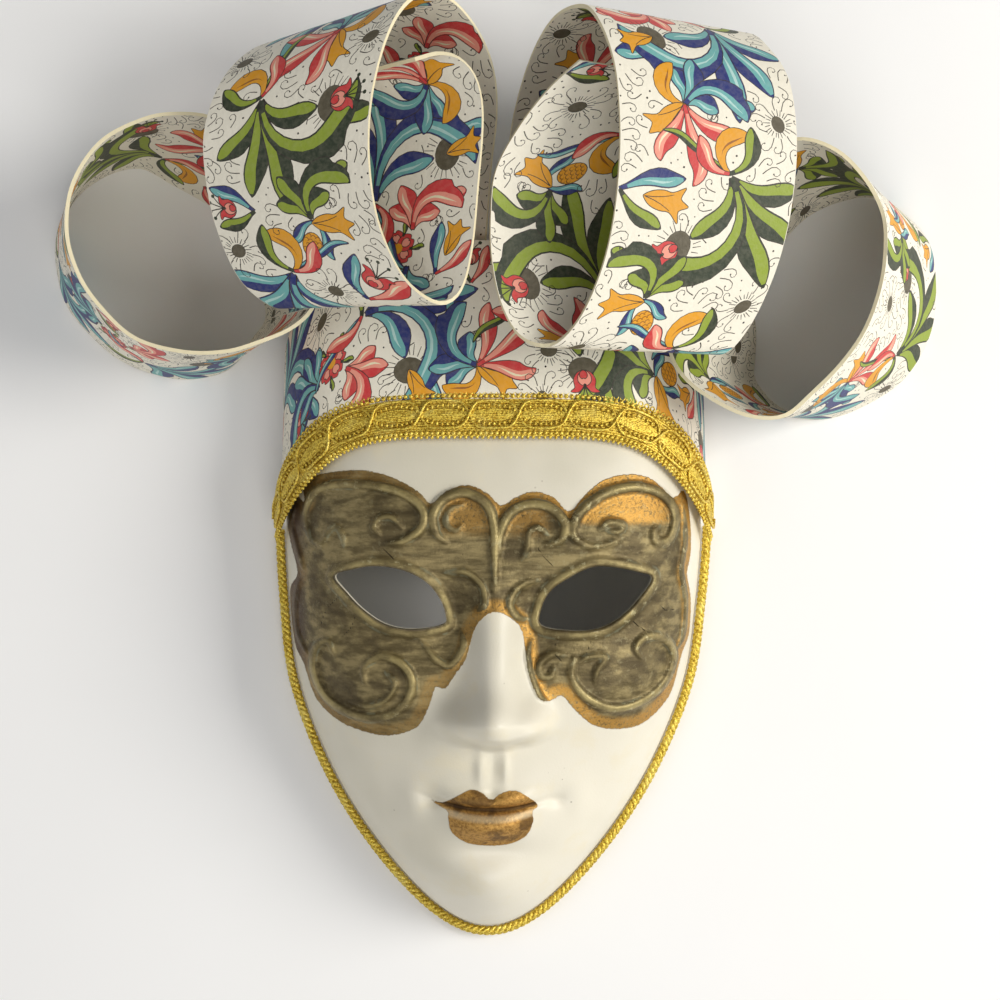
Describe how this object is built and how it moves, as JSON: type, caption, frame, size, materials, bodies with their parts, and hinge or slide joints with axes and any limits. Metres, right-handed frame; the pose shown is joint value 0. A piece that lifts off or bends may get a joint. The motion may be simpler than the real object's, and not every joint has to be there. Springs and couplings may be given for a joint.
{
  "type": "ceramic jester mask",
  "caption": "Small ceramic face mask with a gilt scroll band round the eyes and a jester's headpiece of printed ribbon loops.",
  "frame": {"origin": "middle of the wall's flat back rim at the top centre of the shell, under the headpiece", "axes": "+X to the viewer's right, +Y from the chin towards the headpiece, +Z out of the face; the mask lies on its back"},
  "size_m": [0.2058, 0.2061, 0.059],
  "materials": {
    "ceramic": "satin ivory glaze with bronze-gold painted eye band and lips",
    "printed_ribbon": "stiff paper-faced card printed with scrolls and flowers",
    "gold_braid": "shiny gold gimp braid and cord"
  },
  "bodies": {
    "root": {"mask_shell": "ceramic", "cap_band": "printed_ribbon", "big_loop_left": "printed_ribbon", "big_loop_right": "printed_ribbon", "outer_loop_left": "printed_ribbon", "outer_loop_right": "printed_ribbon", "forehead_braid": "gold_braid", "edge_cord": "gold_braid"}
  },
  "joints": []
}
